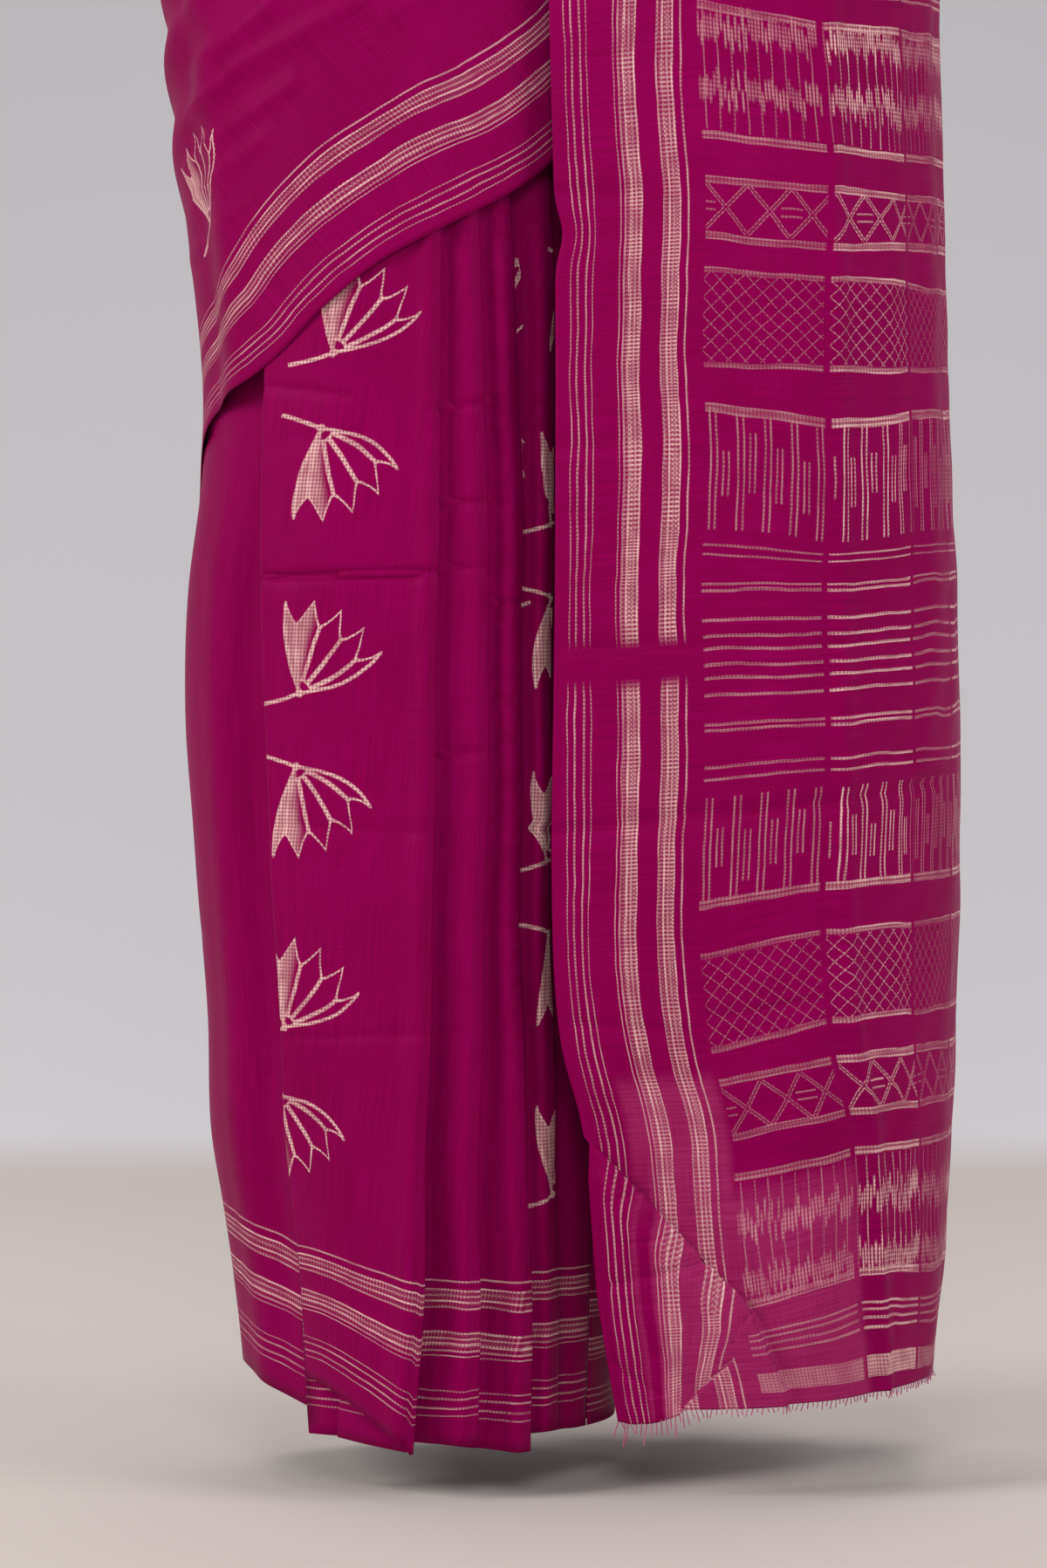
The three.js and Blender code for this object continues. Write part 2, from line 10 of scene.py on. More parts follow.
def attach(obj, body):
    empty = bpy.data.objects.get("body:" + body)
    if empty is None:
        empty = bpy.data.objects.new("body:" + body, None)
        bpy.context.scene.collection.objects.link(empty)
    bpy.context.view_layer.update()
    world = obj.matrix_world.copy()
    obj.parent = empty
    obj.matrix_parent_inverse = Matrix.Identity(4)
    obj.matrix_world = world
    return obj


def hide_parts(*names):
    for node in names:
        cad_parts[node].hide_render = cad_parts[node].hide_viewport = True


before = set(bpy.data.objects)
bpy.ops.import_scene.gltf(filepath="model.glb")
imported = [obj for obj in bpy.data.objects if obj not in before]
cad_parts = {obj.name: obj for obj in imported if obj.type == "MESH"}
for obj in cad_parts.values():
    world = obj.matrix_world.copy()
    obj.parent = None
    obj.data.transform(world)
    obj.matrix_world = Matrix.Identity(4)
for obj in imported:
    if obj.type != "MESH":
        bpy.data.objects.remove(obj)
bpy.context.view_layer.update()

MM = 0.001
SILK_THICK = 0.6
CLOTH_WIDTH = 1150.0
HEM_Z, FLOOR_Z = -1066.0, -1104.0
# How far each stretch stands off the figure, and how close the drape's lower edge comes
HIP_LIFT, DRAPE_LIFT, PLEAT_COVER, LOW_EDGE_HUG = 5.0, 10.0, 16.0, 6.2
# Each face's swell beside its own fold, the trough beside the fold before it, and where both start and are full
FACE_SWELL, FACE_TROUGH = (4.2, 4.6, 4.6, 5.5, 0), 2.6
LOOSE_FROM, LOOSE_FULL = -180, -330
SEAM_TURN = 0.15
CREASE_HEIGHT = 1.5
CREASE_LEVELS = (-388, -408, -460, -506, -525, -621, -670, -732, -805, -840)
# Stations along the outer cloth and rows down the end piece, where one stretch passes into the next
HIP_END, DRAPE_END = 6.5, 20.0
RIDGE_ROW, CORNER_ROW = 5.0, 10.8
BACK_FOLDS, BACK_START, BACK_TOP, BACK_HEM = 5, 0.5, 3.0, 14.0
# V of the cloth at the start of each stretch
INNER_V, PLEATS_V, BORDER_START, SHOULDER_V, ARM_V = 4640, 4600, 2938.0, 1750, 1090
# The end piece's lower corner is turned back across this point, square to this way, both as x and z
TURN_X, TURN_Z = 109.6, -868.9
TURN_WAY = (0.72, 0.694)

# SHEER_PAINTED_LIGHT is painted light: the lighter tone where light would show through the thinly woven end
SILK_DEEP, SILK_LIGHT, RESIST, SHEER_PAINTED_LIGHT = "#700037", "#8a004e", "#dcb0ac", "#96285a"
THREAD, FLOOR_TONE, WALL_TONE, DAYLIGHT = "#a83a70", "#bdb2ab", "#d2ced1", "#dcdadd"
LOTUS_PITCH, LOTUS_FACE, LOTUS_FIRST, LOTUS_SHIFT = 532.0, 109.0, 112.4, 500.0
PETALS = 4.0
LOTUSES_FROM, LOTUSES_TO = 104.0, 1030.0
END_COLUMNS, END_COLUMNS_END, END_PITCH, END_MIDDLE = 98.0, 1050.0, 82.0, 478.0
SELVEDGE = 100.0
THREAD_COUNT, THREAD_RADIUS, THREAD_TOP, THREAD_LENGTH = 240, 0.0004, 0.0012, 0.0045

# The camera and the stage, in metres
CAMERA_PLACE, CAMERA_TILT, LENS = (0.070, -3.900, -0.474), 2.54, 134.7
FLOOR_NEAR, FLOOR_HALF_WIDTH, BEND_Y, BEND_RADIUS = -4.6, 5.5, 1.55, 3.2


def table(columns, *rows):
    data = np.array(rows, float)
    return {name: data[:, i] for i, name in enumerate(columns.split())}


FIGURE = table(
    "z half_width front back shift",
    (-1090, 119, 116, 112, 6), (-1030, 122, 118, 112, 5), (-967, 127, 119, 112, 3), (-926, 132, 120, 112, 2),
    (-874, 138, 121, 112, 0), (-800, 140, 122, 113, 0), (-700, 148, 122, 114, 0), (-600, 153, 122, 115, 0),
    (-520, 151, 121, 116, 0), (-448, 142, 120, 118, 0), (-380, 138, 120, 120, 0), (-294, 142, 119, 123, 0),
    (-200, 150, 117, 127, 0), (-120, 155, 113, 124, 0), (-50, 148, 106, 108, 0), (20, 132, 98, 94, 0),
    (100, 120, 93, 86, 0), (190, 128, 103, 89, 0), (265, 142, 119, 95, 0), (320, 150, 118, 96, 0),
    (365, 154, 101, 90, 0), (400, 152, 74, 74, 0), (430, 144, 48, 48, 0),
)
PLEAT_LEVELS = table(
    "z left1 right1 right2 right3 right4",
    (0, -72, 20, 36, 50, 64), (-150, -86, 18, 38, 57, 80), (-307, -94, 17, 42, 63, 89),
    (-474, -100, 15.5, 46.5, 69, 89.5), (-613, -97, 13.5, 47.5, 68.5, 88.5), (-753, -90, 12, 45, 69, 88.5),
    (-865, -84.5, 8.5, 42.5, 72, 91), (-948, -78, 7, 42, 75, 92), (-1066, -70.5, 0, 41.5, 75.5, 92.5),
)
PLEATS = table(
    "out_top out_hem round_top round_hem hidden_top hidden_hem drop",
    (21, 44, 1, 6, 20, 8, 5), (17, 34, 1, 5, 18, 11, 0), (13, 26, 1, 4, 14, 9, 8), (9, 18, 1, 3, 10, 6.5, -4),
    (HIP_LIFT, HIP_LIFT, 1, 1, 6, 4.5, 0),
)
OUTER = table(
    "low_angle low_z top_angle top_z",
    (58, -1066, 50, 0), (92, -1066, 90, 2), (130, -1062, 130, 5), (165, -1032, 165, 12),
    (200, -935, 194, 30), (230, -770, 217, 55), (252, -590, 234, 82), (272, -436, 249, 110),
    (319, -378, 264, 140), (338, -337, 278, 170), (352, -307, 291, 198), (365, -287, 304, 226),
    (383, -260, 320, 260), (394, -236, 331, 286), (408, -196, 344, 314), (424, -138, 356, 340),
    (437, -50, 367, 364), (441, 60, 377, 383), (436, 180, 385, 397), (428, 290, 391, 408),
    (422, 350, 395, 416),
)
DRAPE_FOLDS = (
    # across, half width, height, peak station, reach in stations
    (0.34, 0.035, 5, 7.6, 3.2), (0.44, 0.032, 6, 7.9, 3.6), (0.54, 0.034, 6, 8.3, 4.2),
    (0.65, 0.036, 6, 9.0, 5.0), (0.77, 0.04, 6, 10.5, 6.5), (0.89, 0.035, 5, 13.0, 7.5),
)
END = table(
    "z_left z_outer z_inner left_x left_y front_x front_y outer_x outer_y back_x back_y inner_x inner_y",
    (345, 352, 372, 168, 64, 155, 72, 140, 78, 118, 84, 72, 90),
    (272, 264, 286, 177, 66, 205, 84, 210, 100, 168, 114, 68, 118),
    (192, 176, 190, 168, 34, 262, 50, 284, 86, 245, 132, 64, 136),
    (142, 108, 100, 128, -46, 278, -30, 325, 46, 290, 144, 62, 150),
    (106, 62, 30, 98, -112, 272, -100, 340, 0, 312, 140, 60, 158),
    (40, 0, -40, 88, -137, 262, -141, 340, -30, 318, 128, 60, 162),
    (-126, -140, -160, 86, -141, 258, -150, 339, -42, 316, 118, 60, 164),
    (-300, -305, -315, 90, -142, 259, -150, 343, -44, 318, 114, 58, 162),
    (-520, -520, -520, 90, -143, 262, -150, 352, -45, 324, 112, 56, 156),
    (-700, -700, -700, 88, -143, 264, -151, 354, -45, 325, 112, 56, 152),
    (-800, -800, -800, 93, -142, 265, -151, 352, -45, 324, 112, 58, 150),
    (-870, -870, -870, 109, -140, 265, -151, 350, -45, 322, 112, 60, 150),
    (-975, -972, -972, 118, -138, 263, -151, 345, -45, 318, 112, 64, 150),
    (-1044, -1035, -1036, 131, -136, 260, -150, 339, -44, 312, 112, 66, 150),
)
END_SHARES = {"left": 0.0, "front": 0.245, "outer": 0.42, "back": 0.63, "inner": 1.0}
END_LAST = len(END["z_left"]) - 1.0


def smooth(start, end, x):
    share = np.clip((np.asarray(x, float) - start) / (end - start), 0, 1)
    return share * share * (3 - 2 * share)


def mix(a, b, share):
    return a + (b - a) * share


def bell(x, centre, half_width):
    return np.exp(-(((x - centre) / half_width) ** 2))


def curve(keys, values, x):
    """A smooth curve through values, whose last axis runs over keys, read at each x."""
    keys, values = np.asarray(keys, float), np.asarray(values, float)
    if keys[0] > keys[-1]:
        keys, values = keys[::-1], values[..., ::-1]
    last = len(keys) - 1
    ahead, behind = np.minimum(np.arange(last + 1) + 1, last), np.maximum(np.arange(last + 1) - 1, 0)
    slope = (values[..., ahead] - values[..., behind]) / (keys[ahead] - keys[behind])
    i = np.clip(np.searchsorted(keys, x, side="right") - 1, 0, last - 1)
    span = keys[i + 1] - keys[i]
    t = np.clip((x - keys[i]) / span, 0, 1)
    return (
        (2 * t**3 - 3 * t**2 + 1) * values[..., i]
        + (t**3 - 2 * t**2 + t) * span * slope[..., i]
        + (3 * t**2 - 2 * t**3) * values[..., i + 1]
        + (t**3 - t**2) * span * slope[..., i + 1]
    )


def read(rows, key, column, x):
    return curve(rows[key], rows[column], x)


def at_row(rows, column, x):
    return curve(np.arange(len(rows[column])), rows[column], x)


def points(x, y, z):
    return np.stack(np.broadcast_arrays(x, y, z), -1)


def on_figure(angle, z, lift):
    """A point on the figure at an angle from the front, in degrees, and a height, moved out by lift."""
    half = read(FIGURE, "z", "half_width", z)
    s, c = np.sin(np.radians(angle)), np.cos(np.radians(angle))
    depth = mix(read(FIGURE, "z", "back", z), read(FIGURE, "z", "front", z), smooth(-0.35, 0.35, c))
    out_x, out_y = s / half, -c / depth
    size = np.hypot(out_x, out_y)
    return points(
        read(FIGURE, "z", "shift", z) + half * s + lift * out_x / size, -depth * c + lift * out_y / size, z
    )


def before_figure(x, z, lift):
    """A point at a distance in front of the figure, at its own distance x across the front."""
    base, p = x, points(x, 0, z)
    for _ in range(8):
        base = base - (p[..., 0] - x)
        share = (base - read(FIGURE, "z", "shift", z)) / read(FIGURE, "z", "half_width", z)
        p = on_figure(np.degrees(np.arcsin(np.clip(share, -0.99, 0.99))), z, lift)
    return p


def normals(p):
    along, up = np.gradient(p, axis=1), np.gradient(p, axis=0)
    n = np.cross(along, up)
    return n / np.maximum(np.linalg.norm(n, axis=-1, keepdims=True), 1e-9)


def arc(p, axis):
    """The distance along the cloth from the first point, along an axis of its grid."""
    step = np.linalg.norm(np.diff(p, axis=axis), axis=-1)
    return np.concatenate([np.zeros_like(step.take([0], axis)), np.cumsum(step, axis=axis)], axis=axis)


def waves(a, b, seed, *sizes):
    """A gentle, uneven swell of height about 1 over a and b, from sines of the given lengths."""
    rng = np.random.default_rng(seed)
    total = 0
    for size in sizes:
        for _ in range(3):
            turn, phase, stretch = rng.uniform(0, np.pi), rng.uniform(0, 2 * np.pi), rng.uniform(0.8, 1.25)
            total = total + np.sin(2 * np.pi * stretch * (a * np.cos(turn) + b * np.sin(turn)) / size + phase)
    return total / (1.7 * math.sqrt(len(sizes) * 3))


def creased(p, x, z, rows):
    """Soft pressed lines: each row gives x and z of both ends, the height and the half width of one line."""
    height = 0
    for x0, z0, x1, z1, top, half in rows:
        line = z0 + (z1 - z0) * np.clip((x - x0) / (x1 - x0), 0, 1)
        ends = smooth(x0 - 6, x0 + 6, x) * smooth(x1 + 6, x1 - 6, x)
        off = (z - line) / half
        across = np.exp(-np.abs(off) ** 1.4) * (1 - 0.6 * smooth(0, 2, off))
        height = height + CREASE_HEIGHT * top * ends * across
    return p + normals(p) * np.asarray(height)[..., None]


# Mesh building
def shell(name, p, uv, material, replaces):
    """A thin closed wall round a grid of points in mm, with the cloth's own measures in mm as its UV map."""
    rows, columns = p.shape[:2]
    n = normals(p) * SILK_THICK / 2
    vertices = np.concatenate([(p + n).reshape(-1, 3), (p - n).reshape(-1, 3)]) * MM
    index = np.arange(rows * columns).reshape(rows, columns)
    a, b, c, d = index[:-1, :-1], index[:-1, 1:], index[1:, 1:], index[1:, :-1]
    front = np.stack([a, b, c, d], -1).reshape(-1, 4)
    far = rows * columns
    back = front[:, ::-1] + far
    rims = []
    for line in (index[0][::-1], index[:, 0], index[-1], index[:, -1][::-1]):
        rims.append(np.stack([line[:-1], line[1:], line[1:] + far, line[:-1] + far], -1))
    quads = np.concatenate([front, back, *rims])
    mesh = bpy.data.meshes.new(name)
    mesh.from_pydata(vertices.tolist(), [], quads.tolist())
    flat = np.concatenate([uv.reshape(-1, 2)] * 2) * MM
    layer = mesh.uv_layers.new(name="cloth")
    layer.data.foreach_set("uv", flat[quads.reshape(-1)].reshape(-1).astype(np.float32))
    mesh.polygons.foreach_set("use_smooth", np.ones(len(quads), bool))
    mesh.materials.append(material)
    mesh.update()
    made = bpy.data.objects.new(name, mesh)
    bpy.context.scene.collection.objects.link(made)
    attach(made, "root")
    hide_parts(replaces)
    return made


# Forms of the cloth
def hem_measure(height):
    """U from the height over the hem, where the border of 98 mm takes up 110 mm."""
    return height - 8 - 12 * np.clip((height - 8) / 110, 0, 1)


def inner_wrap():
    """The first turn of the cloth, a closed ring that is pressed in beside the pleats."""
    angle, share = np.meshgrid(np.linspace(180, 540, 181), np.linspace(0, 1, 110))
    turned = angle - 360
    hem = HEM_Z + 3 + 33 * bell(turned, -82, 46)
    z = mix(0, hem, share)
    low = smooth(-400, -520, z)
    lift = -9 * bell(turned, -45, 6) * low * smooth(-1090, -800, z) + 3 * bell(turned, -58, 7) * low
    lift = lift + 0.8 * waves(angle, z / 5, 3, 60, 110) * low * (1 - 0.7 * bell(turned, -93, 20))
    lift = lift + 1.6 * bell(turned, -93, 16) * smooth(-380, -430, z) * smooth(-680, -600, z)
    p = on_figure(angle, z, lift)
    p = creased(p, p[..., 0], z, [(-158, -418, -102, -416, 1.6, 4), (-150, -742, -100, -745, 1.0, 3)])
    uv = np.stack([hem_measure(z - hem), INNER_V + 2.5 * (turned + 180)], -1)
    return shell("silk_inner_wrap", p, uv, silk_body, "inner_wrap")


def pleat_path(z):
    """The pleats' section at one height: x, distance from the figure, share in the widest face, and drop."""
    opened = float(smooth(-300, HEM_Z, z)) ** 2
    seam = on_figure(58 - 8 * (z - HEM_Z) / -HEM_Z - SEAM_TURN, z, HIP_LIFT)[0]
    edges = [float(read(PLEAT_LEVELS, "z", f"right{k}", z)) for k in range(1, 5)] + [float(seam)]
    hidden_width, underlay = mix(62, 50, opened), mix(60, 105, opened)
    left = float(read(PLEAT_LEVELS, "z", "left1", z))
    path = [(left + underlay, 3.6, 0, 0)]

    def line_to(end, count):
        start = np.array(path[-1], float)
        path.extend(mix(start, np.array(end, float), t) for t in np.linspace(0, 1, count + 1)[1:])

    def face_to(end, count, start_x, swell, trough):
        first = len(path)
        line_to(end, count)
        for row in path[first:]:
            before_fold = smooth(0, 1.5, end[0] - row[0])
            row[1] += swell * bell(row[0], end[0] - 6, 7) * before_fold * loose
            row[1] -= trough * bell(row[0], start_x + 3, 5) * loose

    def turn_at(x, out, radius, side, front_first, rest):
        for t in np.linspace(0, math.pi, 6)[1:] if front_first else np.linspace(math.pi, 0, 6)[1:]:
            path.append((x + side * radius * math.sin(t), out + radius * math.cos(t), *rest))

    loose = smooth(LOOSE_FROM, LOOSE_FULL, z)
    for k in range(5):
        out, radius, hidden = (
            mix(PLEATS[f"{name}_top"][k], PLEATS[f"{name}_hem"][k], opened)
            for name in ("out", "round", "hidden")
        )
        drop = PLEATS["drop"][k]
        if k == 0:
            line_to((left + 1.2, hidden - 1.2, 0, 0), 8)
            turn_at(left + 1.2, hidden, 1.2, -1, False, (1, 0))
            face_to((edges[0] - radius, out, 1, drop), 42, left, FACE_SWELL[0], 0)
        else:
            left = edges[k - 1] - hidden_width
            line_to((left + 1, hidden + 1, 0, 0), 8)
            turn_at(left + 1, hidden, 1, -1, True, (0, 0))
            end_x = edges[k] - (0 if k == 4 else radius)
            face_to((end_x, out, 0, drop), 26, edges[k - 1], FACE_SWELL[k], FACE_TROUGH)
        if k < 4:
            turn_at(edges[k] - radius, out - radius, radius, 1, True, (0, drop))
    return np.array([tuple(row) for row in path])


def front_pleats():
    """Five knife pleats. The front one hangs lower at its free side, and the faces carry pressed creases."""
    near = [centre + np.arange(-7.2, 8, 1.8) for centre in CREASE_LEVELS]
    levels = np.sort(np.concatenate([np.linspace(0, HEM_Z, 130), *near]))[::-1]
    levels = levels[np.concatenate([[True], np.diff(levels) < -0.8])]
    x, out, front, drop = np.moveaxis(np.array([pleat_path(level) for level in levels]), -1, 0)
    level = levels[:, None] + 0 * x
    low = np.clip((-746 - level) / (-746 - HEM_Z), 0, 1) ** 2
    z = level + low * (38 * front * smooth(20, -76, x) - drop)
    sway = 1.1 * waves(z / 3, x / 4 + z / 9, 11, 70, 140) * smooth(-250, -600, z)
    ripple = 0.7 * waves(x, z / 4, 5, 38, 80) + 0.9 * waves(x / 1.5, z / 9, 6, 24) * smooth(-600, -1000, z)
    p = before_figure(x + sway, z, out + ripple * smooth(3, 12, out))
    lines = [
        (-96, -385, -40, -392, 1.2, 3), (16, -401, 46, -396, 1.4, 2.5), (-98, -508, 12, -505, 2.6, 3),
        (-98, -420, -30, -416, 0.8, 3), (16, -460, 44, -460, 1.2, 3),
        (16, -502, 46, -503, 1.0, 3), (48, -526, 68, -523, 1.0, 3), (68, -397, 88, -398, 1.1, 3),
        (68, -409, 88, -411, 0.8, 3), (68, -524, 88, -526, 0.9, 3), (14, -622, 46, -620, 1.0, 4),
        (46, -731, 68, -733, 0.8, 3), (70, -841, 88, -838, 0.9, 3), (-90, -668, 10, -672, 0.7, 4),
        (-86, -806, 8, -800, 0.8, 4),
    ]
    p = creased(p, p[..., 0], z, lines)
    along = arc(p, 1)
    along = along - along[:, 13:14]
    v = PLEATS_V - along + 0.105 * (level + 380) + 22 * smooth(400, 430, along)
    uv = np.stack([hem_measure(level - HEM_Z), v], -1)
    return shell("silk_front_pleats", p, uv, silk_body, "front_pleats")


def outer_point(station, across):
    """A point of the outer cloth: station runs along it, across runs from its lower to its upper border."""
    angle = mix(at_row(OUTER, "low_angle", station), at_row(OUTER, "top_angle", station), across)
    z = mix(at_row(OUTER, "low_z", station), at_row(OUTER, "top_z", station), across)
    turned = np.where(angle > 230, angle - 360, -180)
    cover = smooth(-66, -46, turned) * smooth(66, 46, turned) * smooth(70, 0, z)
    lift = mix(HIP_LIFT, DRAPE_LIFT, smooth(4, 8, station)) + PLEAT_COVER * cover
    lift = lift - LOW_EDGE_HUG * bell(station, 6.8, 1.9) * smooth(0.3, 0, across)
    for centre, half, height, peak, reach in DRAPE_FOLDS:
        lift = lift + height * bell(across, centre, half) * bell(station, peak, reach)
    lift = lift + 0.7 * waves(angle, z / 4, 21, 45, 90) * smooth(5, 8, station)
    return on_figure(angle, z, lift)


def border_measures(p):
    """U is the distance from the lower border, and V runs down along it from the end of the last pleat."""
    edge = outer_point(np.linspace(0, DRAPE_END, 4000), np.zeros(4000))
    down = BORDER_START - arc(edge, 0)
    tree = KDTree(len(edge))
    for k, point in enumerate(edge):
        tree.insert(point, k)
    tree.balance()
    found = np.array([[tree.find(point)[1:] for point in row] for row in p])
    u, v = found[..., 1], down[found[..., 0].astype(int)]
    far = smooth(260, 420, u)
    return np.stack([mix(u, arc(p, 0), far), mix(v, v[0], far)], -1)


def hip_wrap():
    """From the last pleat round the side and the back, where its lower border climbs."""
    station, across = np.meshgrid(np.linspace(0, HIP_END, 170), np.linspace(0, 1, 120))
    p = outer_point(station, across)
    uv = border_measures(p)
    uv[..., 1] = mix(uv[..., 1], uv[:1, :, 1], smooth(96, 108, uv[..., 0]))
    return shell("silk_hip_wrap", p, uv, silk_body, "hip_wrap")


def body_drape():
    """From the back round the right side and up across the front."""
    station, across = np.meshgrid(np.linspace(HIP_END + 0.03, DRAPE_END, 190), np.linspace(0, 1, 150))
    p = outer_point(station, across)
    lines = [
        (34, -143, 84, -209, -0.9, 2.5), (-152, -212, -112, -180, 2.4, 8), (-112, -180, -30, -138, 2.0, 9),
        (-150, -238, -75, -190, 1.8, 7), (-148, -264, -95, -225, 1.3, 7), (-146, -180, -90, -140, 2.0, 8),
        (-150, -300, -110, -268, 0.9, 6), (-20, -150, 60, -112, 1.2, 8),
    ]
    p = creased(p, p[..., 0], p[..., 2], lines)
    uv = border_measures(p)
    turned = np.arctan2(p[..., 0], -p[..., 1])
    degrees = np.degrees(turned)
    # The border is seen in fewer mm than it is woven, by a share that changes along it
    wide = curve([-100, -78, -40, -19, 5, 34, 60], [1.3, 1.33, 1.13, 1.05, 1.0, 1.16, 1.2], degrees)
    uv[..., 0] += (wide - 1) * np.minimum(uv[..., 0], SELVEDGE)
    # At the right side, V runs along the border's straight stretch instead, as on flat cloth
    ring = on_figure(np.linspace(-120, 120, 481), -260.0, DRAPE_LIFT)
    flat = np.stack([np.interp(turned, np.arctan2(ring[:, 0], -ring[:, 1]), arc(ring, 0)), p[..., 2]], -1)
    start, end = np.searchsorted(station[0], [8.3, 11.8])
    way = (flat[0, end] - flat[0, start]) / np.linalg.norm(flat[0, end] - flat[0, start])
    share = smooth(-105, -92, degrees) * smooth(12, 10.5, station) * smooth(60, 100, uv[..., 0])
    uv[..., 1] = mix(uv[..., 1], uv[0, start, 1] - ((flat - flat[0, start]) * way).sum(-1), share)
    uv[..., 1] += 150 * smooth(196, 222, uv[..., 0])
    return shell("silk_body_drape", p, uv, silk_body, "body_drape")


def end_point(row, share):
    """A point of the end piece: row runs down its sections, share runs across it from the left border."""
    row, share = np.asarray(row, float), np.asarray(share, float)

    def place(at):
        keys = list(END_SHARES.values())
        x = curve(keys, np.stack([at_row(END, f"{n}_x", row) for n in END_SHARES], -1), at)
        y = curve(keys, np.stack([at_row(END, f"{n}_y", row) for n in END_SHARES], -1), at)
        heights = np.stack([at_row(END, f"z_{n}", row) for n in ("left", "outer", "inner")], -1)
        return points(x, y, curve([0, END_SHARES["outer"], 1], heights, at))

    p, ahead, behind = place(share), place(np.minimum(1, share + 0.01)), place(np.maximum(0, share - 0.01))
    out_x, out_y = -(ahead - behind)[..., 1], (ahead - behind)[..., 0]
    size = np.hypot(out_x, out_y)
    height = mix(BACK_TOP, BACK_HEM, smooth(0, 7, row))[:, None] * smooth(BACK_START, 0.62, share)
    wave = height * np.sin(2 * np.pi * BACK_FOLDS * (share - BACK_START) / (1 - BACK_START))
    return np.stack([p[..., 0] - wave * out_x / size, p[..., 1] - wave * out_y / size, p[..., 2]], -1)


def end_measures(p, below):
    """U across from the left border to the cloth's full width, and V up from its last row, where V is below."""
    across = arc(p, 1)
    column = int(p.shape[1] * BACK_START)
    limit = across[:, column : column + 1]
    beyond = (CLOTH_WIDTH - limit) / np.maximum(across[:, -1:] - limit, 1)
    u = np.where(across <= limit, across, limit + (across - limit) * beyond)
    down = arc(p, 0)
    v = below + down[-1:] - down
    return u, v


def arm_fall():
    """The falling stretch before the end piece, down to the ridge where that starts."""
    share = np.concatenate([np.linspace(0, BACK_START, 71), np.linspace(BACK_START, 1, 91)[1:]])
    rows = np.linspace(0, RIDGE_ROW, 90)
    p = end_point(rows, share)
    u, v = end_measures(p, ARM_V)
    p = p + normals(p) * (0.6 * waves(u, v, 31, 70, 130))[..., None]
    return shell("silk_arm_fall", p, np.stack([u, v], -1), silk_end, "arm_fall")


def placed(*heights):
    """V in the pattern from V in the hung cloth, through the heights at which each band's line hangs."""
    lines = [0, 18, 48, 78, 150, 176, 211, 235, 432, 521, 551, 562, 630, 661, 721, 745, 780, 806, 878, 1200]
    return lambda v: np.interp(v, [0, *heights, heights[-1] + 322], lines)


# The bands' lines at U 98, 176 and 300: the bands hang in shallow, uneven arcs
END_LINES = (
    placed(15, 38, 61, 148, 173, 208, 230, 430, 530, 555, 563, 643, 669, 729, 752, 788, 815, 900),
    placed(16, 50, 78, 161, 186, 219, 246, 432, 526, 545, 552, 630, 663, 721, 741, 777, 802, 881),
    placed(13, 45, 73, 160, 185, 219, 245, 434, 531, 549, 557, 635, 663, 713, 743, 772, 798, 880),
)


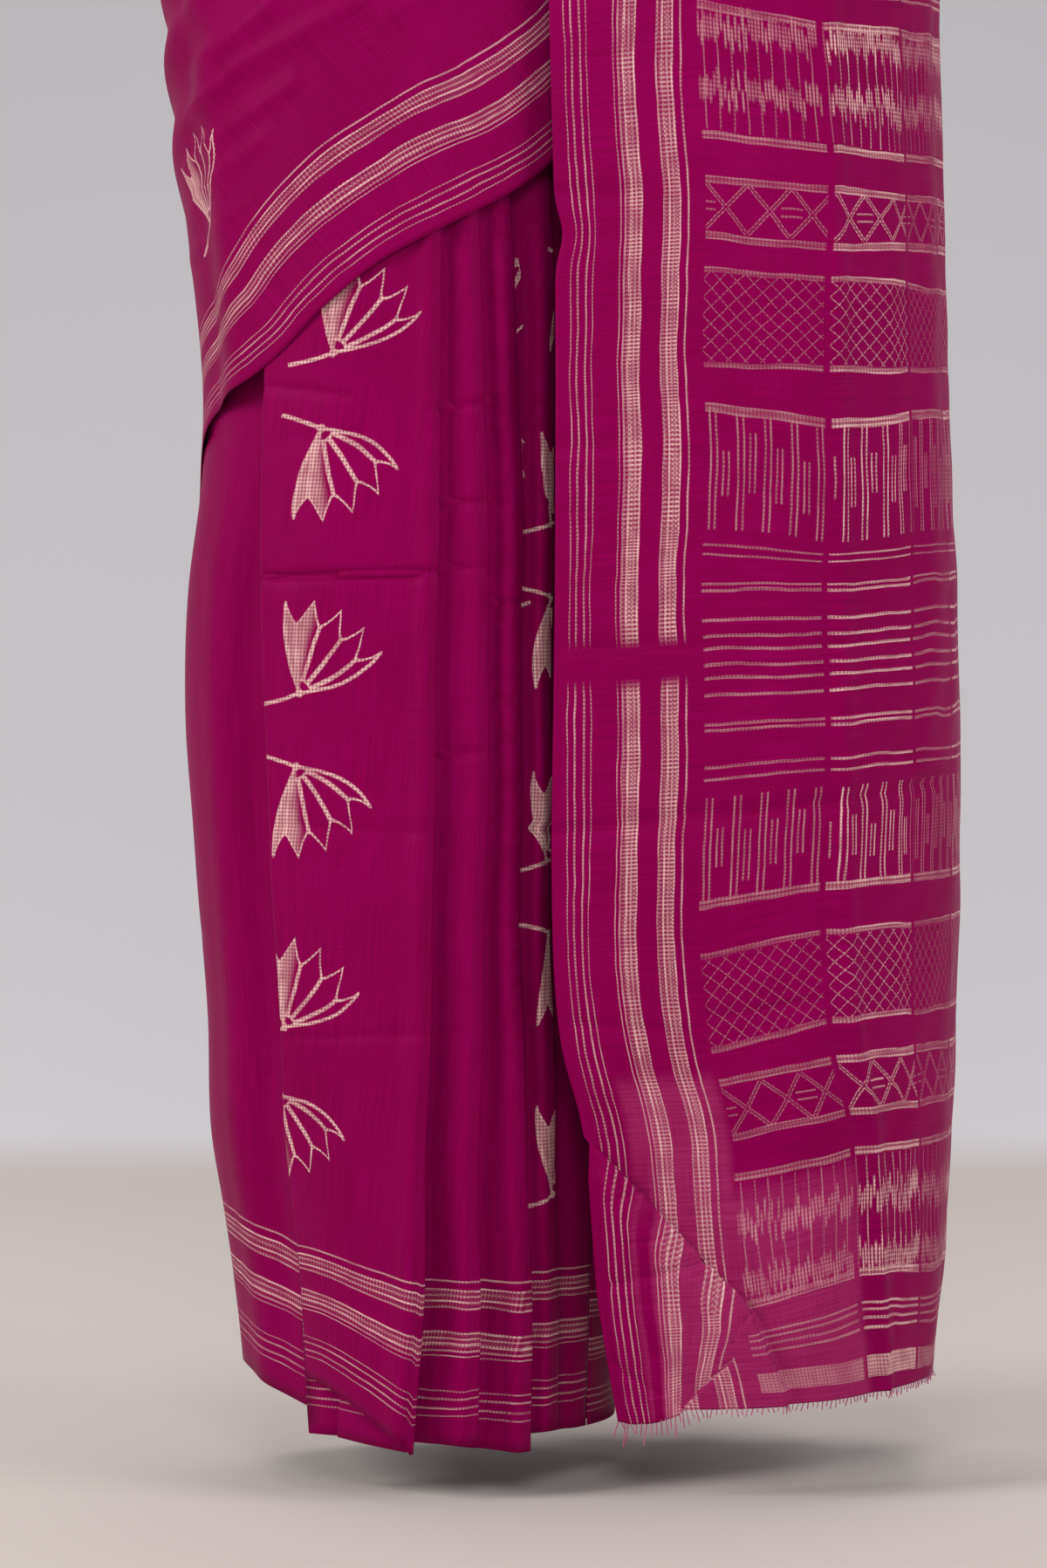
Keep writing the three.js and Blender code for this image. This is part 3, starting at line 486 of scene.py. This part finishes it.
def end_piece():
    """The patterned end, and its points, because the fringe hangs from the last row."""
    border_share, front_share = np.linspace(0, 0.2, 61), np.linspace(0.2, BACK_START, 45)
    share = np.concatenate([border_share, front_share[1:], np.linspace(BACK_START, 1, 53)[1:]])
    rows = np.linspace(RIDGE_ROW, CORNER_ROW, 216)
    rows = np.concatenate([rows, np.linspace(CORNER_ROW, END_LAST, 86)[1:]])
    p = end_point(rows, share)
    u, v = end_measures(p, 0)
    x, z = p[..., 0].copy(), p[..., 2].copy()
    front = smooth(0.5, 0.42, share)[None, :]
    swell = 1.6 * waves(u, v / 5, 41, 60, 110) + 0.7 * waves(u, v, 43, 40, 90)
    swell = swell - 4.5 * bell(u, 182 + 14 * smooth(900, 0, v), 7) * front
    # The lower corner is turned back behind a slanting edge, and its own side curls in
    slant = (x - TURN_X) * TURN_WAY[0] + (z - TURN_Z) * TURN_WAY[1]
    side = x - curve([-1044, -1030, -1015, -1008, -996, -980, -900], [172, 184, 199, 205, 206, 216, 300], z)
    second = x - np.interp(z, [-1034, -980], [240, 217])
    beyond = smooth(-964, -984, z)
    corner = smooth(-9, -11, slant) * smooth(0.8, -0.8, side) * front
    behind = smooth(-0.8, 0.8, side) * smooth(0.8, -0.8, second) * beyond * front
    lip = smooth(-2, 0.5, slant) * smooth(30, 4, slant) * smooth(102, 116, x) * smooth(230, 212, x) * front
    swell = swell + 4.0 * lip - 4.5 * corner - 8.5 * behind
    swell = swell - 3 * smooth(0, -5, slant) * smooth(0, -1, side) * front
    swell = swell + 1.5 * waves(slant, x / 3, 47, 24, 50) * corner
    n = normals(p)
    p = p + n * (swell * smooth(0, 0.02, share)[None, :])[..., None]
    tuck = np.interp(slant, [-17, -8, -4, 0, 6], [0, 4, 7, 0, 0])
    tuck = tuck * smooth(1, -1, side) * smooth(100, 118, x) * smooth(226, 206, x) * front
    p = p + tuck[..., None] * np.array([TURN_WAY[0], 0, TURN_WAY[1]])
    hang = smooth(-985, -1044, z) * corner
    p[..., 2] -= 9 * hang * smooth(190, 150, x)
    lines = [
        (88, -264, 142, -264, 1.5, 4), (86, -424, 130, -421, 1.4, 4), (86, -470, 120, -476, 0.8, 3),
        (88, -672, 182, -661, 2.2, 4), (182, -661, 262, -652, 2.0, 4), (262, -652, 342, -641, 1.8, 4),
        (92, -552, 250, -550, 1.3, 4), (250, -552, 345, -545, 1.1, 4), (200, -300, 262, -303, 0.8, 3),
        (190, -790, 262, -778, 0.8, 4), (100, -795, 180, -800, 0.9, 4), (122, -964, 190, -948, 1.4, 3),
        (126, -1010, 160, -1026, 1.2, 3),
    ]
    p = creased(p, x, z, lines)
    places = [column(v) for column in END_LINES]
    v = mix(mix(*places[:2], np.clip((u - 98) / 78, 0, 1)), places[2], np.clip((u - 180) / 120, 0, 1))
    u = u + 2.4 * waves(v, u / 3, 51, 150, 320) * smooth(4, 30, u) * smooth(400, 200, u)
    shift = 22 * hang * smooth(140, 200, x) + 2.5 * smooth(20, 40, u)
    u = u - 2.5 * smooth(180, 260, u) * smooth(400, 300, u) + shift
    p[..., 0] += 5 * bell(z, -289, 16) * smooth(0.05, 0, share)
    return shell("silk_end_piece", p, np.stack([u, v], -1), silk_end, "end_piece"), p


def shoulder_fold():
    """A smooth bridge from the drape's last station to the end piece's first row."""
    across = np.linspace(0, 1, 60)
    start, before = (outer_point(np.full(60, s), across) for s in (DRAPE_END, DRAPE_END - 0.3))
    end, after = (end_point(np.array([r]), across)[0] for r in (0.0, 0.1))

    def pull(way, low, high):
        return way / np.linalg.norm(way, axis=1, keepdims=True) * mix(low, high, across)[:, None]

    leave, arrive = pull(start - before, 190, 120), pull(after - end, 210, 150)
    t = np.linspace(0.002, 0.998, 60)[None, :, None]
    p = (
        (2 * t**3 - 3 * t**2 + 1) * start[:, None]
        + (t**3 - 2 * t**2 + t) * leave[:, None]
        + (3 * t**2 - 2 * t**3) * end[:, None]
        + (t**3 - t**2) * arrive[:, None]
    )
    u = mix(0, CLOTH_WIDTH, across)[:, None] + 0 * p[..., 0]
    uv = np.stack([u, SHOULDER_V - arc(p, 1)], -1)
    return shell("silk_shoulder_fold", p, uv, silk_body, "shoulder_fold")


# Shading
def colour(code):
    """The linear colour of an sRGB code such as #830142."""
    parts = [int(code[i : i + 2], 16) / 255 for i in (1, 3, 5)]
    return (*(c / 12.92 if c <= 0.04045 else ((c + 0.055) / 1.055) ** 2.4 for c in parts), 1.0)


def add(tree, kind, inputs=(), **settings):
    """Add a node with its settings and its inputs, by place or by name."""
    made = tree.nodes.new(kind)
    for name, value in settings.items():
        setattr(made, name, value)
    for slot, value in inputs.items() if isinstance(inputs, dict) else enumerate(inputs):
        value = getattr(value, "socket", value)
        if isinstance(value, bpy.types.NodeSocket):
            tree.links.new(value, made.inputs[slot])
        else:
            made.inputs[slot].default_value = value
    return made


class Value:
    """A number in a shader, so that a pattern reads as arithmetic."""

    def __init__(self, tree, socket):
        self.tree, self.socket = tree, socket

    def do(self, operation, *others):
        made = add(self.tree, "ShaderNodeMath", (self, *others), operation=operation)
        return Value(self.tree, made.outputs[0])

    def __add__(self, other):
        return self.do("ADD", other)

    def __sub__(self, other):
        return self.do("SUBTRACT", other)

    def __mul__(self, other):
        return self.do("MULTIPLY", other)

    def __truediv__(self, other):
        return self.do("DIVIDE", other)

    def rise(self, low, high):
        """0 below low, 1 above high, smooth between; low may be the greater."""
        ends = dict(zip((1, 2, 3, 4), (low, high, 0.0, 1.0) if low < high else (high, low, 1.0, 0.0)))
        made = add(self.tree, "ShaderNodeMapRange", {0: self, **ends}, interpolation_type="SMOOTHSTEP")
        return Value(self.tree, made.outputs[0])

    def within(self, low, high, soft=0.5):
        return self.rise(low - soft, low + soft) * self.rise(high + soft, high - soft)

    def near(self, half, soft=0.4):
        """1 where the value is within half of 0."""
        return self.do("ABSOLUTE").rise(half + soft, half - soft)

    def bars(self, span, *rows):
        """The strength of the bar that the value is in; each row gives a bar's two ends and strength."""
        ramp = add(self.tree, "ShaderNodeValToRGB", (self / span,))
        stops = ramp.color_ramp
        stops.interpolation = "CONSTANT"
        stops.elements[0].color = (0, 0, 0, 1)
        stops.elements.remove(stops.elements[1])
        last = 0
        for start, end, strength in rows:
            if start == last:
                stops.elements[-1].color = (strength,) * 3 + (1,)
            else:
                stops.elements.new(start / span).color = (strength,) * 3 + (1,)
            stops.elements.new(end / span).color = (0, 0, 0, 1)
            last = end
        return Value(self.tree, ramp.outputs[0])

    def chance(self, seed):
        """A fixed random number from 0 to 1 for each whole number."""
        whole = self.do("FLOOR") + seed
        made = add(self.tree, "ShaderNodeTexWhiteNoise", {"W": whole}, noise_dimensions="1D")
        return Value(self.tree, made.outputs[0])


def noise(tree, place, scale, **detail):
    """A noise over the cloth's own measures."""
    return add(tree, "ShaderNodeTexNoise", {"Vector": place, "Scale": scale, **detail}, noise_dimensions="2D")


def cloth_place(tree):
    """U and V of the cloth in mm, unsteady by about a millimetre as handwork is, and U and V as they are."""
    uv = add(tree, "ShaderNodeUVMap", uv_map="cloth").outputs[0]
    split = add(tree, "ShaderNodeSeparateXYZ", (uv,))
    u, v = (Value(tree, split.outputs[i]) * 1000.0 for i in (0, 1))
    drift = noise(tree, uv, 14.0, Detail=3.0)
    parts = add(tree, "ShaderNodeSeparateColor", (drift.outputs["Color"],))
    shift_u, shift_v = (Value(tree, parts.outputs[i]) - 0.5 for i in (0, 1))
    return u + shift_u * 5.0, v + shift_v * 6.0, u, v, uv


def border(u, v, fill):
    """The lines along a selvedge, thin outside and bold inside, with rungs of strength fill between them."""
    rungs = (v / 2.6).do("FRACT").within(0.15, 0.6, 0.1)
    thin = [(c - 0.5, c + 0.5, 0.6) for c in (9.6, 14, 19.6, 24)]
    bold = [(43, 43.9, 0.6), (46, 46.9, 0.5), (49.6, 50.8, 0.9), (53, 54, 0.6), (56.6, 57.8, 0.95)]
    inner = [(71, 72, 0.6), (74.4, 75.5, 0.85), (78, 79, 0.55), (81.2, 82.4, 0.95), (86.6, 87.6, 0.6)]
    lines = u.bars(SELVEDGE, *thin, *bold, *inner)
    gaps = [(47, 49.6, 0.5), (50.8, 53, 1), (54, 56.6, 1), (72, 74.4, 0.5), (75.5, 78, 1), (79, 81.2, 1)]
    between = u.bars(SELVEDGE, *gaps)
    return lines + between * (rungs * 0.8 + 0.2) * fill


def stitches(u, v):
    """The small pale dots that the stitches leave, along lines of either direction."""
    one, two = ((u + v) * (math.pi / 2.4)).do("SINE"), ((u - v) * (math.pi / 2.4)).do("SINE")
    return (one * two).rise(-0.55, 0.25) * 0.72 + 0.28


def lotus(x, y):
    """A lotus that fans up and to the right from its stem's end, at the origin, about 62 mm high."""
    r = (x * x + y * y).do("SQRT")
    angle = y.do("ARCTAN2", x) * (180 / math.pi)
    spread = r * r * -0.008 + 105.0
    share = (angle - 8.0 - r * r * 0.005) / spread
    bent = share.do("MAXIMUM", 0.0).do("MINIMUM", 0.9999)
    tip = ((bent * PETALS).do("FRACT") * 2.0 - 1.0).do("ABSOLUTE")
    rim = tip.do("POWER", 1.5) * 15.0 + 44.0
    inside = share.rise(-0.02, 0.0) * share.rise(1.02, 1.0)
    within = (r - rim).rise(0.8, -0.2) * inside
    edge = (r - rim).near(1.2) * inside
    ribs = (tip * r * 0.16).near(1.0) * within * r.rise(7.0, 9.0)
    width = spread * r * 0.01745
    sides = ((share * width).near(1.1) + ((share - 1.0) * width).near(1.2)) * (r - 58.5).rise(1.0, 0.0)
    sides = sides * x.rise(-26.0, -24.0) * y.rise(-3.0, -2.0)
    back = x * -0.94 + y * -0.34
    stem = (x * 0.34 - y * 0.94 + back * back * 0.003).near(1.2) * back.within(-2.0, 31.0)
    fill = within * share.rise(0.66, 0.8) * 0.66
    total = edge + ribs + sides + stem + (r - 8.5).near(0.9) * inside + r.near(2.6, 0.8) + fill
    return total.do("MINIMUM", 1.0)


def bands(u, v):
    """The end's bands, whose columns start at u = 0; v is folded at the middle of the pattern."""
    pairs = []
    for start in (77.2, 148, 174, 209.4, 233):
        inner, outer = start + 1.1, start + 3.4
        pairs += [(start, inner, 0.85), (inner, outer, 0.35), (outer, start + 4.5, 0.85)]
    foot_lines = [(12, 27, 0.8), (42, 43.4, 0.8), (47.5, 48.9, 0.7), (53, 54.4, 0.7), (58, 59.6, 0.8)]
    low = v.bars(240.0, *foot_lines, *pairs[:9])
    mid = v.bars(320.0, *pairs[9:], (292.6, 293.7, 0.85), (293.7, 296, 0.35), (296, 297.1, 0.85))
    high = v.bars(
        480.0, (324, 325.1, 0.85), (325.1, 327.2, 0.35), (327.2, 328.3, 0.85), (404, 405.2, 0.7),
        (412, 413.3, 0.7), (434, 435.2, 0.8), (437.6, 438.8, 0.7), (448.4, 449.6, 0.8), (455.6, 456.8, 0.8),
        (464.4, 465.6, 0.8), (471.6, 472.8, 0.8),
    )
    one, two = (u + v).do("PINGPONG", 5.5), (u - v).do("PINGPONG", 5.5)
    lattice = one.do("MINIMUM", two).near(0.32, 0.35) * v.within(237.0, 293.0) * 0.8
    zig = u.do("PINGPONG", 27.5) * 1.127
    cross = (v - 178.0 - zig).do("ABSOLUTE").do("MINIMUM", (v * -1.0 + 209.0 - zig).do("ABSOLUTE"))
    dashes = ((v - 193.5).do("ABSOLUTE") - 2.4).near(0.5) * (u.do("PINGPONG", 27.5) - 3.0).near(4.0)
    crosses = ((cross - 1.4).near(0.5, 0.6) + dashes) * v.within(178.0, 209.0) * 0.85
    tooth = (u / 17.5).do("FRACT") * 17.5
    group = u / 17.5
    long = ((tooth - 5.0).do("ABSOLUTE") - 1.9).near(0.55, 0.4) * v.within(328.0, 394.0)
    foot, head = group.chance(3) * 14.0 + 338.0, group.chance(9) * -14.0 + 382.0
    short = ((tooth - 12.6).do("ABSOLUTE") - 1.7).near(0.5, 0.4)
    short = short * (v - foot).rise(0.0, 1.0) * (head - v).rise(0.0, 1.0)
    thread = u / 2.2
    lower = (v - 84.0 - thread.chance(5) * 12.0).near(6.0, 2.0)
    upper = (v - 117.0 - thread.chance(7) * 14.0).near(5.5, 2.0)
    dense = (lower + upper) * (thread.do("FRACT") - 0.5).near(0.3, 0.12)
    hanging = ((u / 8.7).do("FRACT") - 0.5).near(0.045, 0.03) * v.within(80.0, 147.0) * 0.75
    return (low + mid + high + lattice + crosses + long + short + dense + hanging).do("MINIMUM", 1.0)


def blend(tree, share, under, over):
    """A colour or socket, mixed by share towards a colour code."""
    return add(tree, "ShaderNodeMix", {0: share, 6: under, 7: colour(over)}, data_type="RGBA").outputs[2]


def silk(name, pattern, painted_light_mask=None):
    """Silk in the base colour with a pale pattern; pattern takes U and V and gives a strength."""
    material = bpy.data.materials.new(name)
    material.use_nodes = True
    tree = material.node_tree
    tree.nodes.clear()
    u, v, plain_u, plain_v, uv = cloth_place(tree)
    strength = pattern(u, v) * stitches(plain_u, plain_v)
    blotch = noise(tree, uv, 60.0, Detail=3.0)
    strength = strength * (Value(tree, blotch.outputs[0]).rise(0.3, 0.6) * 0.35 + 0.65)
    slub_place = add(tree, "ShaderNodeMapping", {"Vector": uv, "Scale": (9.0, 420.0, 1.0)})
    slub = noise(tree, slub_place.outputs[0], 2.0)
    warp_place = add(tree, "ShaderNodeMapping", {"Vector": uv, "Scale": (700.0, 12.0, 1.0)})
    warp = noise(tree, warp_place.outputs[0], 2.0)
    weave = Value(tree, slub.outputs[0]) + Value(tree, warp.outputs[0]) * 0.6
    cloudy = noise(tree, uv, 7.0, Detail=2.0)
    tone = weave.rise(0.45, 1.15) * 0.55 + Value(tree, cloudy.outputs[0]) * 0.45
    ground = blend(tree, tone, colour(SILK_DEEP), SILK_LIGHT)
    # Where the end is woven thin, the colour is painted lighter: painted light standing in for light through
    # the thin weave
    if painted_light_mask:
        thin = painted_light_mask(plain_u, plain_v) * (weave.rise(0.5, 1.1) * 0.5 + 0.4)
        ground = blend(tree, thin, ground, SHEER_PAINTED_LIGHT)
    shade = blend(tree, strength, ground, RESIST)
    height = weave * 0.00006 + strength * 0.00012
    bump = add(tree, "ShaderNodeBump", {"Height": height, "Strength": 0.6, "Distance": 1.0}).outputs[0]
    body = add(
        tree,
        "ShaderNodeBsdfPrincipled",
        {
            "Base Color": shade, "Normal": bump, "Roughness": 0.5,
            "Specular IOR Level": 0.07, "Specular Tint": colour("#ff7ab4"),
            "Sheen Weight": 0.06, "Sheen Roughness": 0.3, "Sheen Tint": colour("#ff4a98"),
        },
    )
    add(tree, "ShaderNodeOutputMaterial", {"Surface": body.outputs[0]})
    return material


def body_pattern(u, v):
    """Borders along both selvedges, and columns of lotuses that face each other in pairs."""
    folded = u.do("MINIMUM", u * -1.0 + CLOTH_WIDTH)
    column = (v + LOTUS_SHIFT) / LOTUS_PITCH
    across = column.do("FRACT") * -LOTUS_PITCH + LOTUS_PITCH / 2
    other = (column * 0.5).do("FRACT").do("LESS_THAN", 0.5) * LOTUS_FACE
    up = (u - LOTUS_FIRST + other).do("PINGPONG", LOTUS_FACE)
    flower = lotus(across, up * -1.0 + (LOTUS_FACE - 24.0)) * u.within(LOTUSES_FROM, LOTUSES_TO)
    return (border(folded, v, 0.16) * u.do("GREATER_THAN", 0.5) + flower).do("MINIMUM", 1.0)


def end_pattern(u, v):
    """Borders, broken at the middle of the pattern, and the bands in their columns."""
    folded = u.do("MINIMUM", u * -1.0 + CLOTH_WIDTH)
    middle = (v - END_MIDDLE).near(13.0, 5.0) * -1.0 + 1.0
    column = (u - END_COLUMNS) / END_PITCH
    share = column.do("FRACT")
    bright = (column * 0.5).do("FRACT").rise(0.45, 0.55) * 0.58 + 0.42
    inside = share.within(0.01, 0.955, 0.01) * u.within(END_COLUMNS, END_COLUMNS_END) * v.rise(966.0, 956.0)
    figure = bands(u - END_COLUMNS, v.do("PINGPONG", END_MIDDLE)) * inside * bright
    bold = (v - 560.0).near(170.0, 180.0) * 0.4 + 0.5
    return (border(folded, v, bold) * middle + figure).do("MINIMUM", 1.0)


def end_sheer_painted_light(u, v):
    """The stretches near the end where the cloth is woven thin; their lighter tone is painted light, standing
    in for light that shows through the thin weave.
    """
    border_part = u.within(30.0, 96.0, 4.0) * v.rise(225.0, 205.0)
    wide = u.within(28.0, 180.0, 5.0) * v.rise(150.0, 132.0)
    return border_part.do("MAXIMUM", wide) * (u.within(31.0, 41.0, 2.0) * v.rise(175.0, 120.0) * -1.0 + 1.0)


def threads(name, code):
    """A plain, dull material."""
    material = bpy.data.materials.new(name)
    material.use_nodes = True
    body = material.node_tree.nodes["Principled BSDF"]
    for socket, value in (("Base Color", colour(code)), ("Roughness", 0.7), ("Sheen Weight", 0.2)):
        body.inputs[socket].default_value = value
    return material


silk_body = silk("silk_body", body_pattern)
silk_end = silk("silk_end", end_pattern, end_sheer_painted_light)
silk_threads = threads("silk_threads", THREAD)

inner, pleats, hip, drape, shoulder, arm = (
    form() for form in (inner_wrap, front_pleats, hip_wrap, body_drape, shoulder_fold, arm_fall)
)
last, last_points = end_piece()


# Fringe
def fringe_tree():
    """Threads that hang from points along an edge, uneven in length and lean, with a fixed seed."""
    tree = bpy.data.node_groups.new("fringe threads", "GeometryNodeTree")
    face = tree.interface
    face.new_socket("Geometry", in_out="INPUT", socket_type="NodeSocketGeometry")
    for name, kind in (
        ("Count", "NodeSocketInt"), ("Length", "NodeSocketFloat"),
        ("Radius", "NodeSocketFloat"), ("Material", "NodeSocketMaterial"),
    ):
        face.new_socket(name, in_out="INPUT", socket_type=kind)
    face.new_socket("Geometry", in_out="OUTPUT", socket_type="NodeSocketGeometry")
    given = tree.nodes.new("NodeGroupInput").outputs
    line = add(tree, "GeometryNodeMeshToCurve", (given["Geometry"],)).outputs[0]
    counted = {"Curve": line, "Count": given["Count"]}
    even = add(tree, "GeometryNodeResampleCurve", counted, mode="COUNT").outputs[0]
    spot = add(tree, "GeometryNodeCurveToPoints", {"Curve": even}, mode="EVALUATED").outputs[0]
    ends = {"Start": (0, 0, THREAD_TOP), "End": (0, 0, -THREAD_LENGTH)}
    one = add(tree, "GeometryNodeCurvePrimitiveLine", ends).outputs[0]
    bent = add(tree, "GeometryNodeResampleCurve", {"Curve": one, "Count": 5}, mode="COUNT").outputs[0]
    section = {"Resolution": 4, "Radius": given["Radius"]}
    ring = add(tree, "GeometryNodeCurvePrimitiveCircle", section).outputs[0]
    swept = {"Curve": bent, "Profile Curve": ring, "Fill Caps": True}
    thread = add(tree, "GeometryNodeCurveToMesh", swept).outputs[0]
    leans = {0: (-0.35, -0.35, 0.0), 1: (0.35, 0.35, 3.1), "Seed": 4}
    lean = add(tree, "FunctionNodeRandomValue", leans, data_type="FLOAT_VECTOR").outputs[0]
    size = add(tree, "FunctionNodeRandomValue", {2: 0.35, 3: 1.1, "Seed": 9}, data_type="FLOAT").outputs[1]
    place = add(tree, "GeometryNodeInputPosition").outputs[0]
    x = add(tree, "ShaderNodeSeparateXYZ", (place,)).outputs[0]
    corner = add(tree, "ShaderNodeMapRange", {0: x, 1: 0.165, 2: 0.19, 3: 3.0, 4: 1.0}).outputs[0]
    long = add(tree, "ShaderNodeMath", (size, corner), operation="MULTIPLY").outputs[0]
    long = add(tree, "ShaderNodeMath", (long, given["Length"]), operation="MULTIPLY").outputs[0]
    scale = add(tree, "ShaderNodeCombineXYZ", (1.0, 1.0, long)).outputs[0]
    hung = add(tree, "GeometryNodeInstanceOnPoints",
               {"Points": spot, "Instance": thread, "Rotation": lean, "Scale": scale}).outputs[0]
    real = add(tree, "GeometryNodeRealizeInstances", (hung,)).outputs[0]
    done = add(tree, "GeometryNodeSetMaterial", {"Geometry": real, "Material": given["Material"]}).outputs[0]
    add(tree, "NodeGroupOutput", (done,))
    return tree


def fringe(edge):
    """The threads along the end's edge, made by Geometry Nodes and kept as a plain mesh."""
    down = edge - np.array([0, 0, 0.9])
    mesh = bpy.data.meshes.new("fringe line")
    mesh.from_pydata((down * MM).tolist(), [(i, i + 1) for i in range(len(down) - 1)], [])
    line = bpy.data.objects.new("fringe line", mesh)
    bpy.context.scene.collection.objects.link(line)
    tree = fringe_tree()
    modifier = line.modifiers.new("threads", "NODES")
    modifier.node_group = tree
    wanted = {"Count": THREAD_COUNT, "Length": 1.0, "Radius": THREAD_RADIUS, "Material": silk_threads}
    for socket in tree.interface.items_tree:
        if socket.item_type == "SOCKET" and socket.in_out == "INPUT" and socket.name in wanted:
            modifier[socket.identifier] = wanted[socket.name]
    bpy.context.view_layer.update()
    plain = bpy.data.meshes.new_from_object(line.evaluated_get(bpy.context.evaluated_depsgraph_get()))
    bpy.data.objects.remove(line)
    made = bpy.data.objects.new("silk_fringe", plain)
    bpy.context.scene.collection.objects.link(made)
    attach(made, "root")
    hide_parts("end_fringe")
    return made


tassels = fringe(last_points[-1])


# Stage
def studio():
    """A pale floor that curves up into a low wall, soft lights and a camera."""
    profile = [(FLOOR_NEAR, 0), (BEND_Y, 0)]
    for a in np.linspace(0.06, 1.1, 18):
        profile.append((BEND_Y + BEND_RADIUS * math.sin(a), BEND_RADIUS * (1 - math.cos(a))))
    sides = (-FLOOR_HALF_WIDTH, FLOOR_HALF_WIDTH)
    vertices = [(x, y, FLOOR_Z * MM + z) for y, z in profile for x in sides]
    faces = [(2 * i, 2 * i + 1, 2 * i + 3, 2 * i + 2) for i in range(len(profile) - 1)]
    mesh = bpy.data.meshes.new("floor")
    mesh.from_pydata(vertices, [], faces)
    mesh.polygons.foreach_set("use_smooth", [True] * len(faces))
    paper = threads("pale_paper", FLOOR_TONE)
    place = add(paper.node_tree, "ShaderNodeTexCoord").outputs["Object"]
    height = Value(paper.node_tree, add(paper.node_tree, "ShaderNodeSeparateXYZ", (place,)).outputs[2])
    wall = height.rise(FLOOR_Z * MM, FLOOR_Z * MM + 0.025)
    tone = blend(paper.node_tree, wall, colour(FLOOR_TONE), WALL_TONE)
    paper.node_tree.links.new(tone, paper.node_tree.nodes["Principled BSDF"].inputs["Base Color"])
    mesh.materials.append(paper)
    floor = bpy.data.objects.new("floor", mesh)
    bpy.context.scene.collection.objects.link(floor)
    for name, place, size, power, tint in (
        ("left light", (-2.9, -1.8, 1.1), 1.3, 92, (1.0, 0.99, 0.98)),
        ("right light", (3.1, -1.6, 0.9), 1.6, 58, (0.99, 0.99, 1.0)),
        ("front light", (0.1, -3.9, 1.2), 1.2, 52, (1.0, 1.0, 1.0)),
        ("wall light", (0.0, 0.9, 2.6), 2.8, 58, (1.0, 0.99, 0.99)),
    ):
        data = bpy.data.lights.new(name, "AREA")
        data.size, data.energy, data.color = size, power, tint
        light = bpy.data.objects.new(name, data)
        light.location = place
        light.rotation_euler = (Vector((0.1, 0, -0.6)) - Vector(place)).to_track_quat("-Z", "Y").to_euler()
        bpy.context.scene.collection.objects.link(light)
    world = bpy.data.worlds.new("studio")
    world.use_nodes = True
    world.node_tree.nodes["Background"].inputs[0].default_value = colour(DAYLIGHT)
    world.node_tree.nodes["Background"].inputs[1].default_value = 0.46
    bpy.context.scene.world = world
    bpy.context.scene.view_settings.view_transform = "Standard"
    data = bpy.data.cameras.new("camera")
    data.lens, data.sensor_width, data.sensor_fit = LENS, 36.0, "AUTO"
    camera = bpy.data.objects.new("camera", data)
    camera.location = CAMERA_PLACE
    camera.rotation_euler = (math.radians(90 - CAMERA_TILT), 0, 0)
    bpy.context.scene.collection.objects.link(camera)
    bpy.context.scene.camera = camera


studio()
